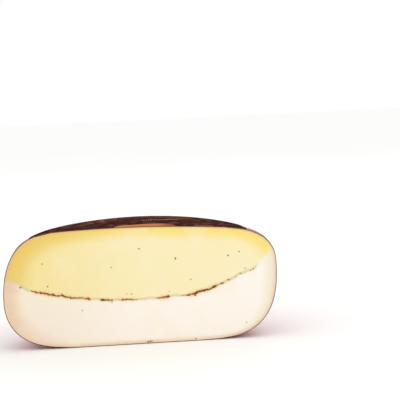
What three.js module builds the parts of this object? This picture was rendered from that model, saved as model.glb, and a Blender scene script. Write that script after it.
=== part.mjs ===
// Half a wheel of two-layered gouda, lying on its base with the cut face to the front.
//
// A bowl of white curd holds a yellow curd. A thin bed of ground coffee lies between them and stops
// short of the rind. A round paper label sits on the crown and was cut through with the cheese.
//
// Millimetres, +Z up. The wheel's axis stands in the cut face, which looks along -Y, and the origin
// is under the middle of the half wheel. Every piece is a section, drawn as distance from the axis
// against height, that turns half way round the axis: from the right end of the cut (angle 0) past
// the back to its left end (angle PI). A hand-made wheel isn't quite round, so the section changes
// smoothly on the way.
import * as THREE from "three";

// The wheel
const WHEEL_RADIUS = 125;
const WHEEL_HEIGHT = 108; // on the axis
const BASE_RADIUS = { right: 45, left: 28, back: 80 }; // the flat that it rests on
const TOP_TILT = 0.024; // the top falls this much for each millimetre to the right
const CROWN_RISE = 2.4; // how far the crown bulges behind the cut
const CROWN_SKEW = 0.7; // how much more of that is on the right
const SHOULDER_SAG = { right: 0.95, left: 1.25 }; // how far the cut's top sinks half way out
const OUT_OF_ROUND = 0.9; // how far the rind strays from its circle

// How the side rounds over, as superellipses: a higher exponent is a squarer corner.
const WIDEST_AT = { right: 67.6, left: 44 }; // height of the widest ring
const SHOULDER = {
  right: { across: 4.66, up: 2.79 },
  left: { across: 6, up: 2.14 },
};
const FOOT = {
  right: { across: 3.55, up: 2.46 },
  left: { across: 4.36, up: 2.12 },
};

// Where the yellow curd meets the white one on the cut face, from the axis out to the rind
const BOUNDARY = {
  right: [
    [0, 41.4],
    [25.9, 42.1],
    [51.3, 44.5],
    [73.8, 51.6],
    [91.7, 60],
    [103.7, 63.7],
    [110.7, 71.7],
    [118.6, 82],
  ],
  left: [
    [0, 41.4],
    [25.1, 42.5],
    [47.1, 44.3],
    [73.2, 48.7],
    [98.9, 54.1],
    [107.7, 58.3],
    [115.3, 64.1],
    [122.8, 65.4],
  ],
};

// The coffee between them
const COFFEE_THICKNESS = 1.3; // in the middle of its bed
const COFFEE_EDGE_THICKNESS = 0.3;
const COFFEE_REACH = { right: 0.82, left: 0.89 }; // share of the boundary that it covers
const COFFEE_RAGGEDNESS = 0.015; // how far that share wanders
const CLEARANCE = 0.3; // between neighbours that touch
const RIM_CLEARANCE = 0.2; // of either curd from the boundary, at the rind

// The label
const LABEL_RADIUS = 99;
const LABEL_THICKNESS = 0.5;
const LABEL_WAVE = 0.8; // depth of its wavy edge
const LABEL_WAVES = 15; // round half of the wheel

// How finely the pieces are cut
const TURN_STEPS = 60;
const LABEL_TURN_STEPS = 90;
const ROWS = {
  base: 4,
  whiteRind: 13,
  yellowRind: 15,
  coffeeBoundary: 10,
  bareBoundary: 4,
  label: 9,
};

// ---- The outline of the wheel -----------------------------------------------------------------

// A value of the section part way round, between its values at the two ends of the cut.
function partWay(ends, angle) {
  return THREE.MathUtils.lerp(ends.right, ends.left, (1 - Math.cos(angle)) / 2);
}

function roundingAt(corner, angle) {
  return {
    across: partWay({ right: corner.right.across, left: corner.left.across }, angle),
    up: partWay({ right: corner.right.up, left: corner.left.up }, angle),
  };
}

function wheelRadius(angle) {
  return WHEEL_RADIUS + OUT_OF_ROUND * Math.sin(angle) * Math.sin(4 * angle);
}

// The flat underside reaches further at the back than at either end of the cut.
function baseRadius(angle) {
  return THREE.MathUtils.lerp(partWay(BASE_RADIUS, angle), BASE_RADIUS.back, Math.sin(angle));
}

// The crown bulges behind the cut, sags along it, and tilts: what that makes of an even wheel's height.
function withUnevenTop(angle, distance, height) {
  const out = distance / wheelRadius(angle);
  const halfWay = 4 * out * (1 - out); // 1 half way out, and none on the axis or at the rind
  const bulge = CROWN_RISE * Math.sin(angle) * (1 + CROWN_SKEW * Math.cos(angle)) * halfWay;
  const sag = partWay(SHOULDER_SAG, angle) * Math.cos(angle) ** 2 * halfWay ** 4;
  const tilt = TOP_TILT * distance * Math.cos(angle);
  return height * (1 + (bulge - sag - tilt) / WHEEL_HEIGHT);
}

function crownHeight(angle, distance) {
  const { across, up } = roundingAt(SHOULDER, angle);
  const widest = partWay(WIDEST_AT, angle);
  const out = distance / wheelRadius(angle);
  const height = widest + (WHEEL_HEIGHT - widest) * (1 - out ** across) ** (1 / up);
  return withUnevenTop(angle, distance, height);
}

// A point of the rind: climb is -1 at the edge of the base, 0 at the widest ring and 1 on the axis.
function rindPoint(angle, climb) {
  const { across, up } = roundingAt(climb > 0 ? SHOULDER : FOOT, angle);
  const widest = partWay(WIDEST_AT, angle);
  const quarterTurn = Math.min(Math.abs(climb), 1) * (Math.PI / 2);
  const outShare = Math.max(Math.cos(quarterTurn), 0) ** (2 / across);
  const upShare = Math.sin(quarterTurn) ** (2 / up);
  const radius = wheelRadius(angle);
  const distance = climb > 0 ? radius * outShare : THREE.MathUtils.lerp(baseRadius(angle), radius, outShare);
  const height = climb > 0 ? widest + (WHEEL_HEIGHT - widest) * upShare : widest * (1 - upShare);
  return new THREE.Vector2(distance, withUnevenTop(angle, distance, height));
}

// How far up the rind's upper quarter a height is reached, found by halving.
function climbTo(angle, height) {
  let [low, high] = [0, 1];
  for (let halving = 0; halving < 40; halving++) {
    const middle = (low + high) / 2;
    if (rindPoint(angle, middle).y < height) low = middle;
    else high = middle;
  }
  return low;
}

// ---- Lines of the section, as evenly spaced points -------------------------------------------

class SectionLine extends THREE.Curve {
  constructor(pointAt) {
    super();
    this.getPoint = pointAt;
  }
}

function rindLine(angle, fromClimb, toClimb, rows) {
  const line = new SectionLine((t) => rindPoint(angle, THREE.MathUtils.lerp(fromClimb, toClimb, t)));
  return line.getSpacedPoints(rows);
}

function coffeeReach(angle) {
  return partWay(COFFEE_REACH, angle) + COFFEE_RAGGEDNESS * Math.sin(angle) * Math.sin(9 * angle);
}

// The line where the curds meet, from the axis to the rind, and how much of it each point has passed.
function boundaryLine(angle) {
  const points = BOUNDARY.right.map(([distance, height], i) => {
    const [leftDistance, leftHeight] = BOUNDARY.left[i];
    return new THREE.Vector2(
      partWay({ right: distance, left: leftDistance }, angle),
      partWay({ right: height, left: leftHeight }, angle),
    );
  });
  const rim = points.at(-1);
  rim.copy(rindPoint(angle, climbTo(angle, rim.y)));
  const curve = new THREE.SplineCurve(points);
  const reach = coffeeReach(angle);
  const shares = [];
  for (let row = 0; row <= ROWS.coffeeBoundary; row++) shares.push((reach * row) / ROWS.coffeeBoundary);
  for (let row = 1; row <= ROWS.bareBoundary; row++)
    shares.push(THREE.MathUtils.lerp(reach, 1, row / ROWS.bareBoundary));
  return shares.map((share) => ({ share, point: curve.getPointAt(share) }));
}

function halfCoffee(angle, share) {
  const thinning = (share / coffeeReach(angle)) ** 4;
  return THREE.MathUtils.lerp(COFFEE_THICKNESS, COFFEE_EDGE_THICKNESS, Math.min(thinning, 1)) / 2;
}

// How far either curd keeps from the boundary: clear of the coffee, and closer beyond it.
function curdClearance(angle, share) {
  const reach = coffeeReach(angle);
  const besideCoffee = halfCoffee(angle, share) + CLEARANCE;
  if (share <= reach) return besideCoffee;
  return THREE.MathUtils.lerp(besideCoffee, RIM_CLEARANCE, (share - reach) / (1 - reach));
}

function shifted({ point }, rise) {
  return new THREE.Vector2(point.x, point.y + rise);
}

// ---- The section of each piece, from the axis round and back to the axis ---------------------

function yellowSection(angle) {
  const boundary = boundaryLine(angle);
  const underside = boundary.map((row) => shifted(row, curdClearance(angle, row.share)));
  const rimClimb = climbTo(angle, underside.at(-1).y);
  return [...underside, ...rindLine(angle, rimClimb, 1, ROWS.yellowRind).slice(1)];
}

function whiteSection(angle) {
  const boundary = boundaryLine(angle);
  const bowl = boundary.map((row) => shifted(row, -curdClearance(angle, row.share)));
  const rimClimb = climbTo(angle, bowl.at(-1).y);
  const base = [];
  const reach = baseRadius(angle);
  for (let row = 0; row < ROWS.base; row++) base.push(new THREE.Vector2((reach * row) / ROWS.base, 0));
  const rind = rindLine(angle, -1, rimClimb, ROWS.whiteRind).slice(0, -1);
  return [...base, ...rind, ...bowl.reverse()];
}

function coffeeSection(angle) {
  const bed = boundaryLine(angle).slice(0, ROWS.coffeeBoundary + 1);
  const underside = bed.map((row) => shifted(row, -halfCoffee(angle, row.share)));
  const top = bed.map((row) => shifted(row, halfCoffee(angle, row.share)));
  return [...underside, ...top.reverse()];
}

function labelSection(angle) {
  const edge = LABEL_RADIUS + LABEL_WAVE * Math.sin(2 * LABEL_WAVES * angle);
  const underside = [];
  for (let row = 0; row <= ROWS.label; row++) {
    const distance = edge * Math.sin((Math.PI * row) / (2 * ROWS.label)); // closer rows where it droops
    underside.push(new THREE.Vector2(distance, crownHeight(angle, distance) + CLEARANCE));
  }
  const top = underside.map(({ x, y }) => new THREE.Vector2(x, y + LABEL_THICKNESS));
  return [...underside, ...top.reverse()];
}

// ---- Turning a section half way round --------------------------------------------------------

// The closed solid that a section sweeps. Its first and last points lie on the axis, so those two
// are shared by every step, and the sections at both ends make up the cut face.
function halfTurn(sectionAt, steps) {
  const sections = [];
  for (let step = 0; step <= steps; step++) sections.push(sectionAt((Math.PI * step) / steps));
  const last = sections[0].length - 1;
  const positions = [];
  const numbers = sections.map((section, step) =>
    section.map(({ x: distance, y: height }, row) => {
      const onAxis = row === 0 || row === last;
      if (onAxis && step > 0) return row === 0 ? 0 : last;
      const angle = (Math.PI * step) / steps;
      const out = onAxis ? 0 : distance;
      positions.push(out * Math.cos(angle), out * Math.sin(angle), height);
      return positions.length / 3 - 1;
    }),
  );

  const faces = [];
  for (let step = 0; step < steps; step++) {
    const [here, next] = [numbers[step], numbers[step + 1]];
    for (let row = 0; row < last; row++) {
      if (row > 0) faces.push(here[row], next[row], next[row + 1]);
      if (row < last - 1) faces.push(here[row], next[row + 1], here[row + 1]);
    }
  }

  const cutOutline = [...numbers[0], ...numbers[steps].slice(1, -1).reverse()];
  const flat = cutOutline.map((n) => new THREE.Vector2(positions[3 * n], positions[3 * n + 2]));
  for (const [a, b, c] of THREE.ShapeUtils.triangulateShape(flat, []))
    faces.push(cutOutline[a], cutOutline[b], cutOutline[c]);

  const geometry = new THREE.BufferGeometry();
  geometry.setAttribute("position", new THREE.Float32BufferAttribute(positions, 3));
  geometry.setIndex(faces);
  geometry.computeVertexNormals();
  return geometry;
}

// ---- The pieces -------------------------------------------------------------------------------

function piece(name, sectionAt, steps, look) {
  const mesh = new THREE.Mesh(halfTurn(sectionAt, steps), new THREE.MeshStandardMaterial(look));
  mesh.name = name;
  return mesh;
}

const halfWheel = new THREE.Group();
halfWheel.position.y = -WHEEL_RADIUS / 2; // the axis stands in the cut face, half the depth in front
halfWheel.add(
  piece("yellow_layer", yellowSection, TURN_STEPS, { color: 0xf5e5aa, roughness: 0.5 }),
  piece("white_layer", whiteSection, TURN_STEPS, { color: 0xf7ece2, roughness: 0.5 }),
  piece("coffee_seam", coffeeSection, TURN_STEPS, { color: 0x5a2f14, roughness: 0.9 }),
  piece("label", labelSection, LABEL_TURN_STEPS, { color: 0x4b3533, roughness: 0.6 }),
);

export default halfWheel;
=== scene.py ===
"""Half a wheel of two-layered gouda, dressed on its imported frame.

Seven pieces: the white curd, the yellow curd in its bowl, the bed of ground coffee between them, the
grains that stand out of it, the single specks that the knife left on the cut, the red-brown rind coat
and the round paper label.

Metres, +Z up. The wheel's axis stands in the cut face, at x = 0 and y = CUT_Y, and the cut looks
along -Y. Each piece is a section, drawn as distance from the axis against height, that turns half
way round: from the right end of the cut (angle 0) past the back to its left end (angle pi).
"""
import math

import bpy
import numpy as np
from mathutils import Euler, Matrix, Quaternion, Vector


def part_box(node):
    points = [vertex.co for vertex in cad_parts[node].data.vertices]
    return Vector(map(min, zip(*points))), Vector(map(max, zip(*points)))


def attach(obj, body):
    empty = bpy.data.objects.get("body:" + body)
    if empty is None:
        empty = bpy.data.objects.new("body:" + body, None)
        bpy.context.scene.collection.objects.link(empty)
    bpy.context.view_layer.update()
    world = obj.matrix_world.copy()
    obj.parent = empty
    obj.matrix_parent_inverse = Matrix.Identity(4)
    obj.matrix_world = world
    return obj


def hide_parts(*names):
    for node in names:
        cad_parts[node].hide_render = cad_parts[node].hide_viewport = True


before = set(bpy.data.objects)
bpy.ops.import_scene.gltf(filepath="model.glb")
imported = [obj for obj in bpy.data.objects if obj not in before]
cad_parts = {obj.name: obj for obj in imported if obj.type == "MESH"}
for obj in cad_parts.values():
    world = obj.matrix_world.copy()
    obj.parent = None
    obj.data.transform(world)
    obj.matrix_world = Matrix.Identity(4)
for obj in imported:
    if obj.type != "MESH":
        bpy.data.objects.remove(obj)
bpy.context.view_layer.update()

bl_info = {
    "name": "Layered gouda half wheel",
    "version": (1, 0, 0),
    "blender": (4, 5, 0),
    "location": "3D View > Sidebar > Gouda",
    "description": "Models half a wheel of two-layered gouda with its rind, coffee seam and label",
    "category": "Add Mesh",
}

MM = 0.001
WHITE_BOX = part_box("white_layer")
CUT_Y = WHITE_BOX[0].y

# ---- The outline of the wheel, as its solids have it ------------------------------------------

WHEEL_RADIUS = WHITE_BOX[1].x
WHEEL_HEIGHT = 108 * MM  # on the axis
TOP_TILT = 0.024  # how far the top falls for each metre to the right
CROWN_RISE = 2.4 * MM  # how far the crown bulges behind the cut
CROWN_SKEW = 0.7  # the share by which it bulges more on the right and less on the left
OUT_OF_ROUND = 0.9 * MM
BASE_RADIUS_BACK = 80 * MM  # of the flat that it rests on, behind the cut

# Each pair is for the right and the left end of the cut.
BASE_RADIUS = (45 * MM, 28 * MM)
WIDEST_AT = (67.6 * MM, 44 * MM)
SHOULDER_ACROSS, SHOULDER_UP = (4.66, 6), (2.79, 2.14)  # powers of the curve: 2 is an ellipse
FOOT_ACROSS, FOOT_UP = (3.55, 4.36), (2.46, 2.12)
SHOULDER_SAG = (0.95 * MM, 1.25 * MM)  # how far the cut's top sinks half way out
COFFEE_REACH = (0.82, 0.89)  # share of the boundary that the coffee covers

# Where the curds meet on either half of the cut: millimetres from the axis and above the base
BOUNDARY_RIGHT = (
    (0, 41.4), (25.9, 42.1), (51.3, 44.5), (73.8, 51.6),
    (91.7, 60), (103.7, 63.7), (110.7, 71.7), (118.6, 82),
)
BOUNDARY_LEFT = (
    (0, 41.4), (25.1, 42.5), (47.1, 44.3), (73.2, 48.7),
    (98.9, 54.1), (107.7, 58.3), (115.3, 64.1), (122.8, 65.4),
)

# The coffee along the cut in millimetres from the axis, right of it positive: where each streak
# begins and ends, and how thick it is.
STREAKS = (
    (-109.6, -107.2, 0.35), (-99.8, -93.9, 0.6), (-93.9, -89, 0.9), (-88.5, -83.2, 1.1), (-83.2, -76.5, 0.9),
    (-76, -70.9, 0.95), (-70.9, -67, 1.6), (-67, -61.5, 1.05), (-61.5, -52, 0.55), (-52, -49.2, 0.8),
    (-49.2, -46.9, 1.7), (-37.2, -33.8, 1.2), (-33.8, -25.7, 0.6), (-24.7, -17.7, 0.12), (-17.7, -12.3, 1.0),
    (-12.3, -2.7, 0.5), (13.4, 19.4, 0.85), (19.4, 26, 1.1), (36.6, 41.7, 0.45), (41.7, 47.3, 0.95),
    (47.3, 51.9, 1.5), (51.9, 59.1, 2.0), (59.1, 68.8, 1.5), (68.8, 72.4, 0.35), (72.4, 75.6, 0.8),
    (79, 81.3, 0.7), (82, 90, 0.1), (90.4, 92.4, 0.45), (100.1, 101.6, 0.4), (102.6, 104.1, 0.35),
)

# Single grains that lie away from the seam: millimetres along the cut and above the base
STRAY_SPECKS = (
    (0, 88), (-26, 72), (33, 77), (91, 80), (81, 77), (46, 57), (-88, 79), (-84, 58), (-13, 47), (-9, 47),
    (-54, 34), (-27, 40), (49, 42), (95, 14), (8, 2.2), (6, 1.9), (4, 1.5), (48, 2), (100, 10), (96, 64.3),
    (103.5, 63.6), (100.6, 62.5), (-109, 58),
)


def part_way(ends, angle):
    """A value of the section part way round, between its values at the right and left end."""
    right, left = ends
    return right + (left - right) * (1 - math.cos(angle)) / 2


def wheel_radius(angle):
    """A wheel turned by hand isn't quite round."""
    return WHEEL_RADIUS + OUT_OF_ROUND * math.sin(angle) * math.sin(4 * angle)


def base_radius(angle):
    """The flat underside reaches further at the back than at either end of the cut."""
    back = math.sin(angle)
    return part_way(BASE_RADIUS, angle) * (1 - back) + BASE_RADIUS_BACK * back


def with_uneven_top(angle, distance, height):
    """Height of an even wheel's point once the crown bulges behind the cut, sags along it and tilts."""
    out = distance / wheel_radius(angle)
    half_way = 4 * out * (1 - out)
    bulge = CROWN_RISE * math.sin(angle) * (1 + CROWN_SKEW * math.cos(angle)) * half_way
    sag = part_way(SHOULDER_SAG, angle) * math.cos(angle) ** 2 * half_way**4
    tilt = TOP_TILT * distance * math.cos(angle)
    return height * (1 + (bulge - sag - tilt) / WHEEL_HEIGHT)


def crown_height(angle, distance):
    """Height of the wheel's top at a distance from the axis."""
    widest = part_way(WIDEST_AT, angle)
    across, up = part_way(SHOULDER_ACROSS, angle), part_way(SHOULDER_UP, angle)
    out = distance / wheel_radius(angle)
    return with_uneven_top(angle, distance, widest + (WHEEL_HEIGHT - widest) * (1 - out**across) ** (1 / up))


def rind_outline(angle, samples=500):
    """The rind from the middle of the base, out and up, to the middle of the crown.

    Each of its three stretches has this many samples, closest where the curve is flattest.
    """
    share = np.linspace(0, 1, samples)
    widest, radius, flat = part_way(WIDEST_AT, angle), wheel_radius(angle), base_radius(angle)
    base = np.stack([np.linspace(0, flat, samples)[:-1], np.zeros(samples - 1)], axis=1)

    foot_turn = (1 - share**2) * math.pi / 2
    foot_out = np.cos(foot_turn).clip(0) ** (2 / part_way(FOOT_ACROSS, angle))
    foot_up = np.sin(foot_turn) ** (2 / part_way(FOOT_UP, angle))
    foot = np.stack([flat + (radius - flat) * foot_out, widest * (1 - foot_up)], axis=1)

    top_turn = (1 - (1 - share[1:]) ** 4) * math.pi / 2
    top_out = np.cos(top_turn).clip(0) ** (2 / part_way(SHOULDER_ACROSS, angle))
    top_up = np.sin(top_turn) ** (2 / part_way(SHOULDER_UP, angle))
    top = np.stack([radius * top_out, widest + (WHEEL_HEIGHT - widest) * top_up], axis=1)
    top[-1, 0] = 0

    line = np.concatenate([base, foot, top])
    line[:, 1] = with_uneven_top(angle, line[:, 0], line[:, 1])
    return line


def travelled(line):
    """How far along the line each of its points lies."""
    return np.concatenate([[0], np.cumsum(np.hypot(*np.diff(line, axis=0).T))])


def spaced(line, places):
    """Points at these distances along the line."""
    along = travelled(line)
    return np.stack([np.interp(places, along, line[:, 0]), np.interp(places, along, line[:, 1])], axis=1)


def outward(line):
    """The direction out of the wheel at each point of an outline that runs from base to crown."""
    step = np.gradient(line, axis=0)
    return np.stack([step[:, 1], -step[:, 0]], axis=1) / np.hypot(*step.T)[:, None]


def moved_in(line, depth):
    """The outline moved into the wheel, with its two ends kept on the axis."""
    inner = line - outward(line) * depth[:, None]
    inner[0] = (0, line[0, 1] + depth[0])
    inner[-1] = (0, line[-1, 1] - depth[-1])
    return inner


def smooth_step(value):
    share = np.clip(value, 0, 1)
    return share * share * (3 - 2 * share)


def wander(along, most, spacing, seed):
    """Random values up to most either way, a new one every spacing along a line, straight between."""
    count = 1024
    turns = np.random.default_rng(seed).uniform(-1, 1, count)
    return most * np.interp(along / spacing + count / 2, np.arange(count), turns)


# ---- Where the curds meet ---------------------------------------------------------------------

SEAM_ROWS = 250  # along the coffee
BARE_ROWS = 24  # from its end to the rind
SEAM_FILM = 0.015 * MM  # half of the coffee's least thickness
BED_SHARE = 0.2  # half of the bed's thickness, as a share of the streak that its grains show
STREAK_END = 0.7 * MM  # over which a streak grows to its thickness

# Unevenness along the cut: the most it comes to, how soon it changes, and its seed
BEADS = (0.6, 1.3 * MM, 15)  # of the streaks' thickness
RAGGED_UNDER, RAGGED_OVER = (0.6, 0.9 * MM, 11), (0.7, 0.7 * MM, 12)  # of the bed's two sides
WOBBLES = ((0.55 * MM, 4.5 * MM, 13), (0.3 * MM, 1.6 * MM, 14))  # of the boundary's height
WOBBLE_END = 1 / 12  # share of the boundary over which its wobble dies out


def catmull_rom(points, samples_between=40):
    """A smooth line through the points."""
    ends = np.concatenate([points[:1], points, points[-1:]])
    t = np.linspace(0, 1, samples_between, endpoint=False)[:, None]
    stretches = []
    for before, start, stop, after in zip(ends, ends[1:], ends[2:], ends[3:]):
        leave, arrive = (stop - before) / 2, (after - start) / 2
        cubic = 2 * start - 2 * stop + leave + arrive
        square = -3 * start + 3 * stop - 2 * leave - arrive
        stretches.append(((cubic * t + square) * t + leave) * t + start)
    return np.concatenate([*stretches, points[-1:]])


def coat_depth(angle, distance):
    """Thickness of the rind coat: thin where the cut shows it, and deeper under its creases."""
    sizes = bpy.context.scene.gouda_rind
    return sizes.edge + (sizes.depth - sizes.edge) * smooth_step(distance * math.sin(angle) / sizes.fade)


def curd_outline(angle):
    """The outside of the curds, which is the inside of the rind coat."""
    line = rind_outline(angle)
    return moved_in(line, coat_depth(angle, line[:, 0]))


def rim_along(angle, outline, boundary_end):
    """How far along the outline its side reaches the height of the boundary's end."""
    side = (outline[:, 1] > part_way(WIDEST_AT, angle)) & (outline[:, 0] > WHEEL_RADIUS / 2)
    return np.interp(boundary_end, outline[side, 1], travelled(outline)[side])


def streak_thickness(across):
    """Thickness of the coffee at a place along the cut, with the beads that its grains gather in."""
    thick = np.zeros_like(across)
    for start, stop, thickness in STREAKS:
        inside = np.minimum(across - start * MM, stop * MM - across)
        thick = np.maximum(thick, thickness * MM * smooth_step(inside / STREAK_END + 0.4))
    return thick * (1 + wander(across, *BEADS))


def seam_sides(across):
    """The coffee's underside and top against the boundary, both ragged."""
    half = BED_SHARE * streak_thickness(across)
    below = half * (1 + wander(across, *RAGGED_UNDER)) + SEAM_FILM
    above = half * (1 + wander(across, *RAGGED_OVER)) + SEAM_FILM
    return -below, above


def boundary_line(angle, outline):
    """The line where the curds meet, from the axis to the rind coat, closely spaced along the coffee."""
    points = part_way((np.array(BOUNDARY_RIGHT), np.array(BOUNDARY_LEFT)), angle) * MM
    points[-1] = spaced(outline, [rim_along(angle, outline, points[-1, 1])])[0]
    line = catmull_rom(points)
    length = travelled(line)[-1]
    reach = part_way(COFFEE_REACH, angle)
    places = np.concatenate([
        np.linspace(0, reach, SEAM_ROWS + 1),
        np.linspace(reach, 1, BARE_ROWS + 1)[1:],
    ])
    line = spaced(line, places * length)
    across = line[:, 0] * math.cos(angle)
    wobble = sum(wander(across, *wave) for wave in WOBBLES)
    line[:, 1] += wobble * smooth_step((reach - places) / WOBBLE_END + 0.2)
    return line


def seam_lines(angle, outline):
    """The coffee's underside and top, which the curds share, from the axis to the rind coat."""
    middle = boundary_line(angle, outline)
    below, above = seam_sides(middle[:, 0] * math.cos(angle))
    below[SEAM_ROWS + 1:] = above[SEAM_ROWS + 1:] = 0
    return (np.stack([middle[:, 0], middle[:, 1] + side], axis=1) for side in (below, above))


# ---- Sections of the pieces, each closed, as (distance from the axis, height) rows -------------

LABEL_WAVES, EVEN_WAVE = 15, 0.55  # of its edge, round half of the wheel, and of a wave's depth
TORN = ((0.8, 0.13, 21), (0.48, 0.05, 24))  # of a wave's depth, in radians round, and the seeds
COCKLES = ((1, 17 * MM, 22), (1, 14 * MM, 23))  # round the label and out from its middle
FLAT_BY_CUT, FLAT_IN_MIDDLE = 8 * MM, 30 * MM  # where the paper lies down


def white_section(angle, rind_rows=120):
    """The bowl: from the middle of the base up the rind to its rim, and back under the coffee."""
    outline = curd_outline(angle)
    under, _ = seam_lines(angle, outline)
    rim = rim_along(angle, outline, under[-1, 1])
    rind = spaced(outline, np.linspace(0, rim, rind_rows + 1))
    return np.concatenate([rind[:-1], under[::-1]])


def yellow_section(angle, rind_rows=110):
    """What fills the bowl: out over the coffee to the rim, and up the rind to the middle of the crown."""
    outline = curd_outline(angle)
    _, over = seam_lines(angle, outline)
    rim = rim_along(angle, outline, over[-1, 1])
    rind = spaced(outline, np.linspace(rim, travelled(outline)[-1], rind_rows + 1))
    return np.concatenate([over, rind[1:]])


def coffee_section(angle):
    """The bed between the curds, out along its underside and back along its top."""
    under, over = seam_lines(angle, curd_outline(angle))
    return np.concatenate([under[:SEAM_ROWS + 1], over[SEAM_ROWS::-1]])


def label_section(angle, rows=64):
    """The paper on the crown, out along its underside and back along its top."""
    sizes = bpy.context.scene.gouda_label
    torn = sum(wander(angle, *tear) for tear in TORN)
    edge = sizes.radius + sizes.wave * (EVEN_WAVE * math.sin(2 * LABEL_WAVES * angle) + torn)
    distance = edge * np.sin(np.linspace(0, math.pi / 2, rows + 1))
    cockle = wander(angle * distance, *COCKLES[0]) * wander(distance, *COCKLES[1])
    away_from_cut = smooth_step(distance * math.sin(angle) / FLAT_BY_CUT)
    lift = sizes.cockle * (0.5 + 0.5 * cockle) * away_from_cut * smooth_step(distance / FLAT_IN_MIDDLE)
    under = np.stack([distance, crown_height(angle, distance) + sizes.gap + lift], axis=1)
    return np.concatenate([under, (under + (0, sizes.thickness))[::-1]])


# ---- The rind coat's relief -------------------------------------------------------------------

COAT_ROWS = {"base": 14, "side": 130, "crown": 12}
COAT_INNER_ROWS = {"base": 8, "side": 50, "crown": 6}
COAT_STEPS = 420
UNDER_LABEL = 0.95  # share of the label's radius where the close rows end

# What each crease is drawn from: (middle, spread) or (least, most)
CREASE_UP_MM = (185, 28)  # along the outline from the middle of the base
UPRIGHT_SHARE = 0.8  # the other creases run round the side
UPRIGHT_LEAN, ROUND_LEAN = (0, 0.35), (math.pi / 2, 0.25)
CREASE_LENGTH_MM, CREASE_WIDTH_MM = (6, 20), (0.9, 1.5)
CREASE_BEND = (-9, 9)
CREASE_SHARE = (0.35, 1)  # of the deepest crease's depth

LUMP_COUNT = 14
LUMPS_AROUND, LUMPS_UP = (-90, 90), (20, 110)  # radians for each metre
CREASED_FROM, CREASES_GROW = 66 * MM, 25 * MM  # the axis, on the underside
CREASES_END, CREASES_FADE = 1.01, 8 * MM  # the first is a share of the label's radius


def coat_rows(outline, rows):
    """Rows of the outline: a few on the base, close ones up the side and a few under the label."""
    along = travelled(outline)
    upper = slice(outline[:, 0].argmax(), None)
    covered = UNDER_LABEL * bpy.context.scene.gouda_label.radius
    label_edge = np.interp(-covered, -outline[upper, 0], along[upper])
    return spaced(outline, np.concatenate([
        np.linspace(0, BASE_RADIUS_BACK, rows["base"] + 1),
        np.linspace(BASE_RADIUS_BACK, label_edge, rows["side"] + 1)[1:],
        np.linspace(label_edge, along[-1], rows["crown"] + 1)[1:],
    ]))


def crease_field():
    """The rind's relief in metres, and its creases alone from 0 to 1, at each step round and each row up."""
    sizes = bpy.context.scene.gouda_rind
    rng = np.random.default_rng(5)
    angles = np.linspace(0, math.pi, COAT_STEPS + 1)
    lines = [coat_rows(rind_outline(angle), COAT_ROWS) for angle in angles]
    along = np.stack([travelled(line) for line in lines])
    around = angles[:, None] * WHEEL_RADIUS * np.ones_like(along)
    distance = np.stack([line[:, 0] for line in lines])

    relief, creases = np.zeros_like(along), np.zeros_like(along)
    for _ in range(sizes.creases):
        middle_around = rng.uniform(0, math.pi) * WHEEL_RADIUS
        middle_along = rng.normal(*CREASE_UP_MM) * MM
        lean = rng.normal(*(UPRIGHT_LEAN if rng.random() < UPRIGHT_SHARE else ROUND_LEAN))
        length, width = rng.uniform(*CREASE_LENGTH_MM) * MM, rng.uniform(*CREASE_WIDTH_MM) * MM
        bend = rng.uniform(*CREASE_BEND)
        depth = sizes.crease_depth * rng.uniform(*CREASE_SHARE)
        off_around, off_along = around - middle_around, along - middle_along
        lengthways = off_along * math.cos(lean) + off_around * math.sin(lean)
        sideways = off_around * math.cos(lean) - off_along * math.sin(lean) + bend * lengthways**2
        groove = np.exp(-((sideways / width) ** 2))
        # The coating is pushed up into a low lip on one side of its groove.
        lip = 0.45 * np.exp(-(((sideways - 2.1 * width) / (1.3 * width)) ** 2))
        fade = np.exp(-((lengthways / length) ** 4))
        relief += depth * (groove - lip) * fade
        creases = np.maximum(creases, groove * fade * depth / sizes.crease_depth)

    for _ in range(LUMP_COUNT):
        waves_around, waves_along = rng.uniform(*LUMPS_AROUND), rng.uniform(*LUMPS_UP)
        start = rng.uniform(0, 2 * math.pi)
        relief += sizes.lumps / 4 * np.sin(waves_around * around + waves_along * along + start)

    label_rim = CREASES_END * bpy.context.scene.gouda_label.radius
    beside_label = smooth_step((distance - label_rim) / CREASES_FADE)
    from_foot = smooth_step((distance - CREASED_FROM) / CREASES_GROW)
    on_side = np.where(along > along[:, -1:] / 2, beside_label, from_foot)
    behind_cut = smooth_step(distance * np.sin(angles)[:, None] / sizes.fade)
    shown = on_side * behind_cut
    return relief * shown, creases * shown


# ---- Turning a section half way round ---------------------------------------------------------

MERGE_WITHIN = 0.002 * MM
ROUNDED_BELOW = math.radians(40)  # edges that bend less than this are shaded smooth
ON_CUT = 0.01 * MM  # how far off the cut's plane still counts as on it
CURD_STEPS, LABEL_STEPS = 36, 300
CUT_CELL = 2.5 * MM
COFFEE_NEAR_MM = (-2, -1, 0, 1, 2)  # along the cut, where coffee counts as near


def on_section(section, angle):
    distance, height = section.T
    return np.stack([distance * math.cos(angle), CUT_Y + distance * math.sin(angle), height], axis=1)


def place_vertices(piece, places):
    piece.data.vertices.foreach_set("co", places.astype(np.float32).ravel())
    piece.data.update()


def vertex_places(piece):
    places = np.empty(len(piece.data.vertices) * 3, np.float32)
    piece.data.vertices.foreach_get("co", places)
    return places.reshape(-1, 3).astype(float)


def store(piece, name, values):
    """Keeps a value at each vertex for the materials to read."""
    kind, field = ("FLOAT", "value") if values.ndim == 1 else ("FLOAT_VECTOR", "vector")
    attribute = piece.data.attributes.new(name, kind, "POINT")
    attribute.data.foreach_set(field, values.astype(np.float32).ravel())


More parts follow.
